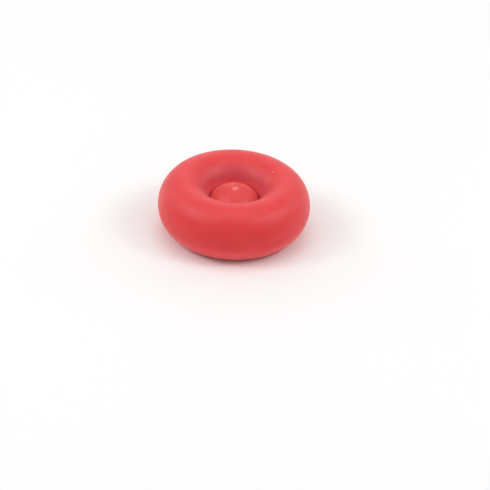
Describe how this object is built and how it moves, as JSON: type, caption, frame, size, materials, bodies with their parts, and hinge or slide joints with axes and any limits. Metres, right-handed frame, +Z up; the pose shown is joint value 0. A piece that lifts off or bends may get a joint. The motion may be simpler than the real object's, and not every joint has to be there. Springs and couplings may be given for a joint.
{
  "type": "case opening friction ball",
  "caption": "Small soft rubber grip ring with a rubber ball held in its hole, for turning screwed watch case backs by friction.",
  "frame": {"origin": "centre of the flat under the ring, on the surface that the tool stands on", "axes": "+Z up along the axis of the ring and of its hole"},
  "size_m": [0.016, 0.016, 0.0061],
  "materials": {
    "ring_rubber": "satin",
    "ball_rubber": "satin"
  },
  "bodies": {
    "ring": {"grip_ring": "ring_rubber"},
    "ball": {"centre_ball": "ball_rubber"}
  },
  "joints": [
    {"name": "ball_push_out", "type": "slide", "parent": "ring", "child": "ball", "axis": [0, 0, 1], "range_m": [-0.0062, 0.0062]}
  ]
}
